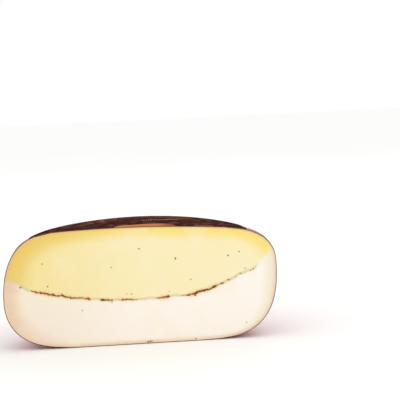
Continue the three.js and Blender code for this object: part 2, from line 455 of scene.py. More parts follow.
def half_turn(name, section_at, steps, skin=None):
    """The closed solid that a section sweeps from the right end of the cut round to the left end.

    skin, for the rind coat, holds a vector for each vertex of the section at each step.
    """
    rows = len(section_at(0.0))
    bpy.ops.object.select_all(action="DESELECT")
    bpy.ops.mesh.primitive_circle_add(vertices=rows, radius=WHEEL_RADIUS, fill_type="NOTHING")
    piece = bpy.context.object
    piece.name = piece.data.name = name
    turn = piece.modifiers.new("turn", "SCREW")
    turn.angle = math.pi
    turn.steps = turn.render_steps = steps
    bpy.ops.object.modifier_apply(modifier=turn.name)

    # The turned circle has one row of vertices after another, which now go where each section is.
    angles = np.linspace(0, math.pi, steps + 1)
    place_vertices(piece, np.concatenate([on_section(section_at(angle), angle) for angle in angles]))
    if skin is not None:
        store(piece, "skin", skin)

    bpy.ops.object.mode_set(mode="EDIT")
    bpy.ops.mesh.select_mode(type="EDGE")
    bpy.ops.mesh.select_all(action="DESELECT")
    bpy.ops.mesh.select_non_manifold(extend=False, use_wire=False, use_boundary=True, use_multi_face=False,
                                     use_non_contiguous=False, use_verts=False)
    bpy.ops.mesh.fill_holes(sides=0)
    bpy.ops.mesh.select_all(action="SELECT")
    bpy.ops.mesh.remove_doubles(threshold=MERGE_WITHIN)
    bpy.ops.mesh.normals_make_consistent(inside=False)
    bpy.ops.object.mode_set(mode="OBJECT")
    bpy.ops.object.shade_smooth_by_angle(angle=ROUNDED_BELOW)
    return piece


def grid_cut_face(piece, spacing):
    """Divides the cut face into small cells, so that values at its vertices can change across it."""
    for face in piece.data.polygons:
        face.select = face.normal.y < -0.99 and abs(face.center.y - CUT_Y) < ON_CUT
    places = vertex_places(piece)
    bpy.ops.object.mode_set(mode="EDIT")
    bpy.ops.mesh.select_mode(type="FACE")
    bpy.ops.mesh.hide(unselected=True)
    for axis in (0, 2):
        direction = [float(axis == i) for i in range(3)]
        low, high = places[:, axis].min(), places[:, axis].max()
        for place in np.arange(math.floor(low / spacing) + 0.5, high / spacing) * spacing:
            bpy.ops.mesh.select_all(action="SELECT")
            bpy.ops.mesh.bisect(plane_co=[place * d for d in direction], plane_no=direction,
                                threshold=MERGE_WITHIN / 2)
    bpy.ops.mesh.reveal(select=False)
    bpy.ops.object.mode_set(mode="OBJECT")


def distance_to_line(points, line):
    """Shortest distance of each point from a line of straight stretches."""
    start, step = line[:-1], np.diff(line, axis=0)
    off = points[:, None, :] - start
    share = np.clip((off * step).sum(axis=2) / (step**2).sum(axis=1), 0, 1)
    off -= share[..., None] * step
    return np.sqrt((off**2).sum(axis=2)).min(axis=1)


def across_cut(line_at):
    """A line of the section at both ends of the cut, as one line from left to right."""
    right, left = line_at(0.0), line_at(math.pi)
    return np.concatenate([(left * (-1, 1))[::-1], right[1:]])


def seam_on_cut():
    """The line where the curds meet, from the left end of the cut to the right one."""
    return across_cut(lambda angle: boundary_line(angle, curd_outline(angle)))


def mark_cut_face(piece):
    """Stores at each vertex its depth below the rind, its height over the seam and the coffee near it."""
    places = vertex_places(piece)
    flat = places[:, [0, 2]]
    on_cut = np.abs(places[:, 1] - CUT_Y) < ON_CUT
    # Both lines are measured against thousands of vertices, so they are thinned out first.
    rind = across_cut(lambda angle: rind_outline(angle, samples=80))
    seam = seam_on_cut()[::3]
    depth, rise = np.zeros(len(places)), np.full(len(places), WHEEL_HEIGHT)
    depth[on_cut] = distance_to_line(flat[on_cut], rind)
    over = np.where(flat[on_cut, 1] > np.interp(flat[on_cut, 0], *seam.T), 1, -1)
    rise[on_cut] = distance_to_line(flat[on_cut], seam) * over
    store(piece, "rind_depth", depth)
    store(piece, "seam_rise", rise)
    nearby = np.mean([streak_thickness(flat[:, 0] + off * MM) for off in COFFEE_NEAR_MM], axis=0)
    store(piece, "coffee", nearby / MM)


# ---- Small grains -----------------------------------------------------------------------------

CRUMB_ROUGHNESS, CRUMB_STRETCH = 0.55, (0.65, 1.25)
GRAIN_CROWDING = 0.8  # power of the streak's thickness: at 0 the grains lie evenly along the cut
GRAIN_FINENESS = (1.5, 2.6)  # beta distribution of the widths: the second over the first is finer
GRAIN_FIT = (0.35 * MM, 1.3)  # widest grain where there is no streak, and more for half of a streak
GRAIN_HEIGHT = (0.15, 0.7)  # middle and spread, for half of the streak's thickness
GRAIN_SINK, SPECK_SINK = 0.12, 0.15  # how far the middle lies behind the cut, for a width of one
SPECK_WIDTHS = (0.8, 1)
STRAY_SHARE, STRAY_REACH = 0.05, 1.3 * MM  # of the grains that the knife drew off the seam


def grain_shapes(count=4):
    """A few crumbs of ground coffee, about one unit in radius, each as (vertices, faces)."""
    shapes = []
    for seed in range(count):
        bpy.ops.object.select_all(action="DESELECT")
        bpy.ops.mesh.primitive_ico_sphere_add(subdivisions=1, radius=1)
        crumb = bpy.context.object
        bpy.ops.object.mode_set(mode="EDIT")
        bpy.ops.mesh.select_all(action="SELECT")
        bpy.ops.transform.vertex_random(offset=CRUMB_ROUGHNESS, uniform=1, seed=seed)
        bpy.ops.mesh.normals_make_consistent(inside=False)
        bpy.ops.object.mode_set(mode="OBJECT")
        shapes.append((vertex_places(crumb), [list(face.vertices) for face in crumb.data.polygons]))
        mesh = crumb.data
        bpy.data.objects.remove(crumb)
        bpy.data.meshes.remove(mesh)
    return shapes


def scattered(name, centres, sizes, rng):
    """One mesh of many crumbs, each turned and stretched at random."""
    shapes = grain_shapes()
    places, faces, roast = [], [], []
    for centre, size in zip(centres, sizes):
        crumb, crumb_faces = shapes[rng.integers(len(shapes))]
        turn = np.array(Euler(rng.uniform(0, 2 * math.pi, 3)).to_matrix())
        stretched = (crumb * rng.uniform(*CRUMB_STRETCH, 3)) @ turn.T
        first = sum(map(len, places))
        places.append(centre + stretched * size / 2)
        faces.extend([first + corner for corner in face] for face in crumb_faces)
        roast.append(np.full(len(crumb), rng.random()))
    mesh = bpy.data.meshes.new(name)
    mesh.from_pydata(np.concatenate(places).tolist(), [], faces)
    piece = bpy.data.objects.new(name, mesh)
    bpy.context.scene.collection.objects.link(piece)
    store(piece, "roast", np.concatenate(roast))
    return piece


# ---- Materials --------------------------------------------------------------------------------

def srgb(red, green, blue):
    """A colour given as 0 to 255 on screen, in the linear light that Blender works in."""
    shares = [value / 255 for value in (red, green, blue)]
    return tuple(s / 12.92 if s <= 0.04045 else ((s + 0.055) / 1.055) ** 2.4 for s in shares)


# Shades that the materials blend in, beside the colours that a user would change
YELLOW_LEFT, YELLOW_BLUSH, YELLOW_EDGE = srgb(244, 226, 160), srgb(236, 184, 112), srgb(226, 188, 138)
YELLOW_NEAR_RIND_LEFT, YELLOW_NEAR_RIND = srgb(234, 203, 104), srgb(247, 222, 118)
WHITE_LEFT, WHITE_EDGE = srgb(244, 232, 214), srgb(236, 200, 172)
WHITE_NEAR_RIND_LEFT, WHITE_NEAR_RIND = srgb(231, 203, 171), srgb(238, 226, 198)
WHITE_NEAR_FOOT_LEFT = srgb(240, 213, 192)
PALE_CLOUD, PARTING_LINE = srgb(250, 236, 206), srgb(222, 196, 146)
FAINT_STAIN, STRONG_STAIN = srgb(248, 208, 146), srgb(224, 136, 58)

BED_LIGHT, BED_BARE = srgb(190, 124, 62), srgb(244, 226, 176)
SPECK_DARK, SPECK_LIGHT = srgb(74, 56, 30), srgb(150, 124, 72)

RIND_DARK, RIND_LIGHT, RIND_MOTTLE = srgb(150, 40, 22), srgb(214, 112, 72), srgb(140, 42, 26)
RIND_FOOT_SHADE, RIND_SHOULDER_HIGHLIGHT, RIND_SHADE_BY_CUT = srgb(150, 26, 14), srgb(210, 112, 72), srgb(118, 46, 28)
RIND_LINE, RIND_WORN = srgb(228, 146, 106), srgb(232, 156, 114)
RIND_CUT, RIND_CUT_UNDER_PAPER = srgb(84, 44, 34), srgb(128, 74, 50)

PAPER_DARK, PAPER_LIGHT = srgb(50, 25, 21), srgb(96, 70, 64)
MEDALLION_RIM, MEDALLION_RAYS = srgb(112, 52, 30), srgb(150, 84, 46)
SMALL_OVAL, WREATH = srgb(140, 80, 52), srgb(112, 60, 42)
FLOOR_CLOUD = srgb(253, 253, 252)


class Look:
    """Builds one procedural material, node by node, round a Principled surface."""

    def __init__(self, name, **constants):
        self.material = bpy.data.materials.new(name)
        self.material.use_nodes = True
        self.tree = self.material.node_tree
        self.surface = self.tree.nodes["Principled BSDF"]
        for socket, value in constants.items():
            self.surface.inputs[socket.replace("_", " ")].default_value = value
        self.place = self.node("ShaderNodeTexCoord").outputs["Object"]

    def node(self, kind, inputs=(), **settings):
        made = self.tree.nodes.new(kind)
        for name, value in settings.items():
            setattr(made, name, value)
        for socket, value in dict(inputs).items():
            self.feed(made.inputs[socket], value)
        return made

    def feed(self, socket, value):
        if isinstance(value, bpy.types.NodeSocket):
            self.tree.links.new(value, socket)
        elif socket.type == "RGBA" and len(value) == 3:
            socket.default_value = (*value, 1)
        else:
            socket.default_value = value

    def set(self, socket, value):
        self.feed(self.surface.inputs[socket], value)

    def math(self, operation, *values):
        return self.node("ShaderNodeMath", dict(enumerate(values)), operation=operation).outputs[0]

    def times(self, value, other):
        return self.math("MULTIPLY", value, other)

    def between(self, value, low, high, to_low=0.0, to_high=1.0):
        """Runs smoothly from to_low to to_high as value goes from low to high."""
        inputs = {"Value": value, "From Min": low, "From Max": high, "To Min": to_low, "To Max": to_high}
        return self.node("ShaderNodeMapRange", inputs, interpolation_type="SMOOTHSTEP").outputs[0]

    def band(self, value, middle, half, soft):
        """1 within half of middle, falling to 0 over soft."""
        off = self.math("ABSOLUTE", self.math("SUBTRACT", value, middle))
        return self.between(off, half, half + soft, 1.0, 0.0)

    def stored(self, attribute, output="Fac"):
        """What store() kept at the piece's vertices."""
        return self.node("ShaderNodeAttribute", attribute_name=attribute).outputs[output]

    def mapped(self, vector, location=(0, 0, 0), scale=(1, 1, 1)):
        inputs = {"Vector": vector, "Location": location, "Scale": scale}
        return self.node("ShaderNodeMapping", inputs).outputs[0]

    def noise(self, size, detail=3.0, roughness=0.5, vector=None, distortion=0.0):
        """Cloudy values from 0 to 1 whose blotches are about this size."""
        inputs = {"Vector": vector or self.place, "Scale": 1 / size, "Detail": detail,
                  "Roughness": roughness, "Distortion": distortion}
        return self.node("ShaderNodeTexNoise", inputs).outputs["Fac"]

    def ramp(self, value, *stops):
        """A colour for each value: stops are (place from 0 to 1, colour)."""
        made = self.node("ShaderNodeValToRGB", {"Fac": value})
        elements = made.color_ramp.elements
        for index, (place, _) in enumerate(stops):
            element = elements[index] if index < 2 else elements.new(place)
            element.position = place
        for element, (_, colour) in zip(elements, sorted(stops)):
            element.color = (*colour, 1)
        return made.outputs["Color"]

    def mix(self, share, colour, other):
        """The first colour where share is 0, and the other where it is 1."""
        made = self.node("ShaderNodeMix", data_type="RGBA")
        for index, value in ((0, share), (6, colour), (7, other)):
            self.feed(made.inputs[index], value)
        return made.outputs[2]

    def bump(self, height, depth, after=None):
        """Relief of this depth in metres, on top of an earlier relief."""
        inputs = {"Height": height, "Distance": depth, "Strength": 1.0}
        if after is not None:
            inputs["Normal"] = after
        return self.node("ShaderNodeBump", inputs).outputs[0]

    def axes(self, vector):
        return self.node("ShaderNodeSeparateXYZ", {"Vector": vector}).outputs


def curd_colour(look, depth, ends, core, deep, zone, amount):
    """One curd's colour: its core, and a deeper one towards the rind.

    zone says how wide the deeper colour is and amount how much of it there is, each as (in the
    middle, more at the left end, more at the right end), because the cut's two ends are drier.
    """
    left, right = ends

    def varied(middle, more_left, more_right):
        return look.math("MULTIPLY_ADD", left, more_left,
                         look.math("MULTIPLY_ADD", right, more_right, middle))

    near = look.math("DIVIDE", depth, varied(*zone))
    share = look.times(look.between(near, 0.15, 1.0, 1.0, 0.0), varied(*amount))
    return look.mix(share, core, deep)


def curd_look(name):
    """Both curds, which run into each other where no coffee parts them, with a stain along the coffee."""
    colours = bpy.context.scene.gouda_colours
    look = Look(name, Subsurface_Weight=0.15, Subsurface_Scale=4 * MM, Specular_IOR_Level=0.2)
    axes = look.axes(look.place)
    across = axes["X"]
    left = look.between(across, -0.42 * WHEEL_RADIUS, -0.95 * WHEEL_RADIUS)
    right = look.between(across, 0.67 * WHEEL_RADIUS, 0.96 * WHEEL_RADIUS)
    sideways = look.between(across, -0.85 * WHEEL_RADIUS, 0.15 * WHEEL_RADIUS)
    rind_depth = look.stored("rind_depth")
    ragged = look.math("MULTIPLY_ADD", look.noise(11 * MM, detail=2), 3.6 * MM, rind_depth)
    depth = look.math("SUBTRACT", ragged, 1.8 * MM)

    yellow = curd_colour(
        look, depth, (left, right),
        core=look.mix(sideways, YELLOW_LEFT, colours.yellow_curd),
        deep=look.mix(sideways, YELLOW_NEAR_RIND_LEFT, YELLOW_NEAR_RIND),
        zone=(15 * MM, 19 * MM, 5 * MM),
        amount=(0.95, 0.03, 0.02),
    )
    blushed = look.times(look.between(rind_depth, 1 * MM, 7 * MM, 0.5, 0.0), left)
    yellow = look.mix(blushed, yellow, YELLOW_BLUSH)
    yellow = look.mix(look.between(rind_depth, 0.7 * MM, 2.8 * MM, 0.85, 0.0), yellow, YELLOW_EDGE)

    foot = look.between(axes["Z"], 34 * MM, 10 * MM)
    white_deep_left = look.mix(foot, WHITE_NEAR_RIND_LEFT, WHITE_NEAR_FOOT_LEFT)
    white = curd_colour(
        look, depth, (left, right),
        core=look.mix(sideways, WHITE_LEFT, colours.white_curd),
        deep=look.mix(sideways, white_deep_left, WHITE_NEAR_RIND),
        zone=(7 * MM, 16 * MM, 11 * MM),
        amount=(0.35, 0.65, 0.42),
    )
    white = look.mix(look.between(rind_depth, 0.7 * MM, 5 * MM, 0.85, 0.0), white, WHITE_EDGE)

    # The bare ends of the boundary are soft, the right one more so.
    rise = look.stored("seam_rise")
    soft_right = look.between(across, 90 * MM, 108 * MM, 0.0, 3.2 * MM)
    soft_left = look.between(across, -100 * MM, -112 * MM, 0.0, 1.8 * MM)
    blur = look.math("ADD", look.math("ADD", soft_right, soft_left), 0.12 * MM)
    colour = look.mix(look.between(rise, blur, look.times(blur, -1.0)), yellow, white)
    cloud = look.noise(24 * MM, detail=3)
    colour = look.mix(look.between(cloud, 0.45, 0.7, 0.0, 0.3), colour, PALE_CLOUD)

    # The curds part in a faint tan line, also where there is no coffee.
    parting = look.times(look.band(rise, 0.0, half=0.4 * MM, soft=1.6 * MM),
                         look.band(across, 0.0, half=104 * MM, soft=6 * MM))
    colour = look.mix(look.times(parting, 0.6), colour, PARTING_LINE)

    # Coffee stains the curd that touches it, unevenly: widely but faintly, and strongly close by.
    patch = look.noise(5 * MM, detail=3)
    width = look.between(patch, 0.3, 0.7, 1.8 * MM, 3.8 * MM)
    reached = look.math("DIVIDE", look.math("ABSOLUTE", rise), width)
    coffee = look.stored("coffee")
    for near, far, little, much, most, stain in (
        (0.2, 1.3, 0.1, 1.1, 0.75, FAINT_STAIN),
        (0.0, 0.6, 0.2, 1.3, 0.95, STRONG_STAIN),
    ):
        share = look.times(look.between(reached, near, far, 1.0, 0.0),
                           look.between(coffee, little, much, 0.0, most))
        colour = look.mix(share, colour, stain)
    look.set("Base Color", colour)

    # A wire leaves a close, faintly drawn surface.
    grain = look.noise(0.9 * MM, detail=3, vector=look.mapped(look.place, scale=(0.35, 1, 1)))
    relief = look.bump(look.noise(7 * MM, detail=2), 0.35 * MM)
    look.set("Normal", look.bump(grain, 0.05 * MM, after=relief))
    look.set("Roughness", look.between(look.noise(5 * MM), 0.3, 0.7, 0.4, 0.55))
    return look.material


def coffee_look(name, dark, light, bare=None):
    """Ground coffee, each crumb roasted a little differently; bare is the colour where it thins out."""
    look = Look(name, Roughness=0.8, Specular_IOR_Level=0.2)
    roast = look.stored("roast")
    blotch = look.math("MULTIPLY_ADD", look.noise(0.8 * MM, detail=3), 0.8, look.times(roast, 0.6))
    colour = look.ramp(blotch, (0.35, dark), (0.85, light))
    if bare is not None:
        colour = look.mix(look.between(look.stored("coffee"), 0.05, 0.3), bare, colour)
    look.set("Base Color", colour)
    look.set("Normal", look.bump(look.noise(0.35 * MM, detail=2), 0.12 * MM))
    return look.material


def rind_look():
    """Red-brown coating, drawn into fine creases and mottled where it is thicker."""
    colours = bpy.context.scene.gouda_colours
    look = Look("rind_coat", Specular_IOR_Level=0.2, Coat_Weight=0.14, Coat_Roughness=0.24)
    skin = look.stored("skin", "Vector")  # round the side, up the side, and how deep a crease is
    height = look.axes(look.place)["Z"]
    behind = look.axes(look.place)["Y"]
    broad = look.noise(60 * MM, detail=2, roughness=0.55)
    colour = look.ramp(broad, (0.3, RIND_DARK), (0.5, colours.rind), (0.66, RIND_LIGHT))
    fine = look.noise(6 * MM, detail=5, roughness=0.65)
    colour = look.mix(look.between(fine, 0.42, 0.7, 0.0, 0.28), colour, RIND_MOTTLE)
    # Painted shade: below 62 mm the coat is blended, up to 0.75, towards a darker red.
    colour = look.mix(look.between(height, 62 * MM, 12 * MM, 0.0, 0.75), colour, RIND_FOOT_SHADE)
    # Painted highlight: from 60 mm up, the shoulder is blended, up to 0.45, towards a lighter orange.
    colour = look.mix(look.between(height, 60 * MM, 100 * MM, 0.0, 0.45), colour, RIND_SHOULDER_HIGHLIGHT)

    # Pale wear follows the creases, and finer lines are drawn between them.
    drawn = look.noise(10 * MM, detail=3, roughness=0.55, distortion=0.7,
                       vector=look.mapped(skin, scale=(1.7, 0.4, 1)))
    patchy = look.between(look.noise(24 * MM, detail=2), 0.52, 0.62)
    lines = look.times(look.band(drawn, 0.5, half=0.003, soft=0.012), patchy)
    colour = look.mix(look.times(lines, 0.3), colour, RIND_LINE)
    broken = look.between(look.noise(3 * MM, detail=3), 0.38, 0.6, 0.06, 0.5)
    worn = look.times(look.between(look.axes(skin)["Z"], 0.35 * MM, 0.95 * MM), broken)
    colour = look.mix(worn, colour, RIND_WORN)

    # Painted shade darkens the shoulder just behind the cut, and the cut through the coat is darker than its
    # outside.
    shade_by_cut = look.times(look.between(behind, CUT_Y + 2 * MM, CUT_Y + 20 * MM, 0.7, 0.0),
                       look.between(height, 72 * MM, 94 * MM))
    colour = look.mix(shade_by_cut, colour, RIND_SHADE_BY_CUT)
    cut_edge = look.between(behind, CUT_Y + 0.3 * MM, CUT_Y + 2.6 * MM, 0.9, 0.0)
    under_paper = look.between(height, 94 * MM, 100 * MM)
    cut_colour = look.mix(under_paper, RIND_CUT, RIND_CUT_UNDER_PAPER)
    look.set("Base Color", look.mix(cut_edge, colour, cut_colour))

    relief = look.bump(look.noise(11 * MM, detail=3), 0.5 * MM)
    relief = look.bump(look.times(lines, -1.0), 0.18 * MM, after=relief)
    look.set("Normal", look.bump(look.noise(1.1 * MM, detail=3), 0.05 * MM, after=relief))
    look.set("Roughness", look.between(look.noise(8 * MM, detail=3), 0.3, 0.7, 0.34, 0.52))
    return look.material


MEDALLION_X = 6.5 * MM  # from the axis, to the right
INK_EDGE = 0.25 * MM  # over which a printed shape ends
TURN_EDGE = 0.004  # the same in half turns


def print_on(look, paper):
    """A plain print on the paper: a medallion, dim leaves, fine rings and a garland at the back."""
    colours = bpy.context.scene.gouda_colours
    axes = look.axes(look.mapped(look.place, location=(0, -CUT_Y, 0)))
    across, behind = axes["X"], axes["Y"]
    radius = look.math("SQRT", look.math("MULTIPLY_ADD", across, across, look.times(behind, behind)))
    turn = look.math("DIVIDE", look.math("ARCTAN2", behind, across), math.pi)

    def repeated(count, shift=0.0):
        """Place within one of count equal stretches round the half turn, from -0.5 to 0.5."""
        stretch = look.math("MULTIPLY_ADD", turn, float(count), shift)
        return look.math("SUBTRACT", look.math("FRACT", stretch), 0.5)

    def painted(colour, mask, ink, strength):
        return look.mix(look.times(mask, strength), colour, ink)

    def lens(half_length, half_width, middle=MEDALLION_X):
        """Inside of a pointed oval whose length lies along the cut."""
        off = look.math("SUBTRACT", across, middle)
        along = look.math("DIVIDE", look.math("ABSOLUTE", off), half_length)
        rim = look.math("MULTIPLY_ADD", look.math("POWER", along, 9.0), -half_width, half_width)
        return look.between(look.math("SUBTRACT", rim, behind), 0.0, INK_EDGE)

    def leaves(count, middle, half_length, half_width, lean, shift=0.0):
        """Pointed leaves in a ring, each leaning round with its length and parted by a bare rib."""
        lengthways = look.math("DIVIDE", look.math("SUBTRACT", radius, middle), half_length)
        arc = math.pi * middle / count
        place = look.math("MULTIPLY_ADD", lengthways, lean, repeated(count, shift))
        sideways = look.math("ABSOLUTE", look.times(place, arc / half_width))
        taper = look.math("SUBTRACT", 1.0, look.times(lengthways, lengthways))
        leaf = look.between(look.math("SUBTRACT", taper, sideways), 0.0, 0.12)
        return look.times(leaf, look.between(sideways, 0.04, 0.1))

    # The medallion, of copper with a darker rim and rays, and a small oval beside it
    colour = painted(paper, lens(half_length=29 * MM, half_width=10.5 * MM), MEDALLION_RIM, 0.9)
    # Painted shade: the copper ink thins out from 16 to 30 mm right of the axis, so the medallion's right
    # end reads darker.
    shaded = look.between(across, 16 * MM, 30 * MM, 0.95, 0.35)
    colour = painted(colour, lens(half_length=27.5 * MM, half_width=9.2 * MM), colours.copper_ink, shaded)
    rays = look.band(repeated(21), 0.0, half=0.16, soft=0.05)
    field = lens(half_length=22 * MM, half_width=6 * MM)
    colour = painted(colour, look.times(field, rays), MEDALLION_RAYS, 0.5)
    oval = lens(half_length=9.5 * MM, half_width=5 * MM, middle=60 * MM)
    colour = painted(colour, oval, SMALL_OVAL, 0.75)

    # A row of stitches behind the medallion
    row = look.times(look.band(across, 21 * MM, half=17 * MM, soft=INK_EDGE),
                     look.band(behind, 30 * MM, half=1.2 * MM, soft=INK_EDGE))
    place = look.math("SUBTRACT", look.math("FRACT", look.math("DIVIDE", across, 2.4 * MM)), 0.5)
    stitches = look.times(row, look.band(place, 0.0, half=0.26, soft=0.06))
    colour = painted(colour, stitches, colours.cream_ink, 0.5)

    # A wreath of dim leaves, and a pale garland where the back of the label is
    away = look.between(behind, 22 * MM, 40 * MM)
    wreath = leaves(13, middle=56 * MM, half_length=12 * MM, half_width=4.2 * MM, lean=0.22)
    colour = painted(colour, look.times(wreath, away), WREATH, 0.65)
    sprigs = leaves(13, middle=59 * MM, half_length=9 * MM, half_width=2.4 * MM, lean=0.22, shift=0.5)
    colour = painted(colour, look.times(sprigs, away), colours.copper_ink, 0.32)
    at_back = look.band(turn, 0.5, half=0.2, soft=TURN_EDGE)
    garland = leaves(24, middle=84 * MM, half_length=5.5 * MM, half_width=3 * MM, lean=0.3)
    colour = painted(colour, look.times(garland, at_back), colours.cream_ink, 0.9)

    # Thin rings, and dots either side of the garland
    for place, half, strength in ((75 * MM, 0.35 * MM, 0.45), (92.5 * MM, 0.25 * MM, 0.5)):
        ring = look.band(radius, place, half, soft=INK_EDGE)
        colour = painted(colour, look.times(ring, away), colours.cream_ink, strength)
    dots = look.times(look.band(radius, 84 * MM, half=0.9 * MM, soft=INK_EDGE),
                      look.band(repeated(64), 0.0, half=0.14, soft=0.06))
    beside = look.math("SUBTRACT", 1.0, look.band(turn, 0.5, half=0.215, soft=TURN_EDGE))
    return painted(colour, look.times(dots, look.times(beside, away)), colours.cream_ink, 0.5)


def label_look():
    """Dark paper, matt and mottled like slate, with a generic print."""
    colours = bpy.context.scene.gouda_colours
    look = Look("label_paper", Roughness=0.9, Specular_IOR_Level=0.0)
    clouds = look.noise(9 * MM, detail=6, roughness=0.65)
    paper = look.ramp(clouds, (0.32, PAPER_DARK), (0.5, colours.label), (0.67, PAPER_LIGHT))
    printed = print_on(look, paper)
    scuffed = look.noise(1.6 * MM, detail=4, roughness=0.7)
    look.set("Base Color", look.mix(look.between(scuffed, 0.52, 0.75, 0.0, 0.35), printed, colours.label))
    relief = look.bump(look.noise(16 * MM, detail=2), 0.4 * MM)
    look.set("Normal", look.bump(look.noise(0.7 * MM, detail=3), 0.04 * MM, after=relief))
    return look.material


def floor_look():
    colours = bpy.context.scene.gouda_colours
    look = Look("studio_floor", Roughness=0.9, Specular_IOR_Level=0.1)
    look.set("Base Color", look.mix(look.noise(0.4, detail=2), colours.floor, FLOOR_CLOUD))
    return look.material


def finish_piece(piece, material, slot, *nodes):
    """Gives a piece its material and its place in the frame."""
    piece.data.materials.clear()
    piece.data.materials.append(material)
    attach(piece, "root")
    if nodes:
        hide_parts(*nodes)


# ---- Sizes and colours that a user would change -----------------------------------------------

def size(name, description, default):
    return bpy.props.FloatProperty(name=name, description=description, default=default, min=0,
                                   precision=5, unit="LENGTH")


def colour(name, description, default):
    return bpy.props.FloatVectorProperty(name=name, description=description, default=default, min=0,
                                         max=1, size=3, subtype="COLOR")


class GoudaRind(bpy.types.PropertyGroup):
    """Sizes of the rind coat."""
    edge: size("Edge", "Thickness of the coat where the cut shows it", 0.65 * MM)
    depth: size("Depth", "Thickness of the coat behind the cut", 1.6 * MM)
    fade: size("Fade", "How far behind the cut the coat gets its relief", 6 * MM)
    creases: bpy.props.IntProperty(name="Creases", description="Creases in the coat", default=75, min=0)
    crease_depth: size("Crease depth", "Depth of the deepest crease", 0.5 * MM)
    lumps: size("Lumps", "How far the hand-turned side strays from even", 0.35 * MM)


class GoudaCoffee(bpy.types.PropertyGroup):
    """Sizes of the ground coffee on the cut."""
    grains: bpy.props.IntProperty(name="Grains", description="Grains along the seam", default=1100, min=1)
    smallest: size("Smallest grain", "Width of the finest ground coffee", 0.3 * MM)
    largest: size("Largest grain", "Width of the coarsest ground coffee", 1.25 * MM)
    speck: size("Speck", "Width of a grain away from the seam", 1.8 * MM)


class GoudaLabel(bpy.types.PropertyGroup):
    """Sizes of the paper label."""
    radius: size("Radius", "Radius of the label", 99 * MM)
    wave: size("Wave", "Depth of its wavy edge", 0.8 * MM)
    thickness: size("Thickness", "Thickness of the paper", 0.28 * MM)
    gap: size("Gap", "Height of the paper over the rind", 0.06 * MM)
    cockle: size("Cockle", "How far damp has lifted the paper", 0.15 * MM)


class GoudaColours(bpy.types.PropertyGroup):
    """Colours of the cheese, its label and the floor."""
    yellow_curd: colour("Yellow curd", "Yellow curd in the middle of the cut", srgb(249, 235, 188))
    white_curd: colour("White curd", "White curd in the middle of the cut", srgb(252, 243, 233))
    rind: colour("Rind", "Coating of the rind", srgb(184, 62, 32))
    dark_coffee: colour("Dark coffee", "Darkest ground coffee", srgb(56, 29, 12))
    light_coffee: colour("Light coffee", "Lightest ground coffee", srgb(150, 92, 44))
    label: colour("Label", "Ground of the label", srgb(66, 36, 31))
    copper_ink: colour("Copper ink", "Ink of the medallion and the sprigs", srgb(196, 128, 84))
    cream_ink: colour("Cream ink", "Ink of the garland, rings, dots and stitches", srgb(232, 206, 176))
    floor: colour("Floor", "Floor and surroundings", srgb(251, 251, 250))


# ---- Operators ----------------------------------------------------------------------------------

class GOUDA_OT_curds(bpy.types.Operator):
    """Model the white curd and the yellow curd that lies in it"""
    bl_idname = "gouda.curds"
    bl_label = "Curds"

    def execute(self, context):
        for name, section_at, node in (
            ("white_curd", white_section, "white_layer"),
            ("yellow_curd", yellow_section, "yellow_layer"),
        ):
            piece = half_turn(name, section_at, CURD_STEPS)
            grid_cut_face(piece, CUT_CELL)
            mark_cut_face(piece)
            finish_piece(piece, curd_look(name), name, node)
        return {"FINISHED"}


class GOUDA_OT_coffee_bed(bpy.types.Operator):
    """Model the thin bed of ground coffee between the curds"""
    bl_idname = "gouda.coffee_bed"
    bl_label = "Coffee bed"

    def execute(self, context):
        colours = context.scene.gouda_colours
        piece = half_turn("coffee_bed", coffee_section, CURD_STEPS)
        places = vertex_places(piece)
        store(piece, "roast", np.full(len(places), 0.4))
        store(piece, "coffee", streak_thickness(places[:, 0]) / MM)
        look = coffee_look("coffee_bed", colours.dark_coffee, BED_LIGHT, bare=BED_BARE)
        finish_piece(piece, look, "ground_coffee", "coffee_seam")
        return {"FINISHED"}


class GOUDA_OT_coffee_grains(bpy.types.Operator):
    """Scatter the grains that stand out of the seam and the few that the knife left on the cut"""
    bl_idname = "gouda.coffee_grains"
    bl_label = "Coffee grains"

    def execute(self, context):
        sizes, colours = context.scene.gouda_coffee, context.scene.gouda_colours
        rng = np.random.default_rng(31)
        seam = seam_on_cut()
        places = np.arange(seam[0, 0], seam[-1, 0], 0.1 * MM)
        thickness = streak_thickness(places)
        chance = thickness**GRAIN_CROWDING
        across = rng.choice(places, sizes.grains, p=chance / chance.sum())
        half = np.interp(across, places, thickness) / 2
        coarseness = rng.beta(*GRAIN_FINENESS, sizes.grains)
        width = sizes.smallest + (sizes.largest - sizes.smallest) * coarseness
        width = np.minimum(width, GRAIN_FIT[0] + GRAIN_FIT[1] * half)
        drawn = rng.random(sizes.grains) < STRAY_SHARE
        stray = np.where(drawn, rng.exponential(STRAY_REACH, sizes.grains), 0)
        off = rng.normal(*GRAIN_HEIGHT, sizes.grains) * half + stray * rng.choice((-1, 1), sizes.grains)
        height = np.interp(across, *seam.T) + off
        centres = np.stack([across, CUT_Y + GRAIN_SINK * width, height], axis=1)
        grains = scattered("coffee_grains", centres, width, rng)
        look = coffee_look("coffee_grains", colours.dark_coffee, colours.light_coffee)
        finish_piece(grains, look, "ground_coffee")

        specks = np.array(STRAY_SPECKS) * MM
        width = sizes.speck * rng.uniform(*SPECK_WIDTHS, len(specks))
        centres = np.stack([specks[:, 0], CUT_Y + SPECK_SINK * width, specks[:, 1]], axis=1)
        strays = scattered("curd_specks", centres, width, rng)
        look = coffee_look("curd_specks", SPECK_DARK, SPECK_LIGHT)
        finish_piece(strays, look, "ground_coffee")
        return {"FINISHED"}


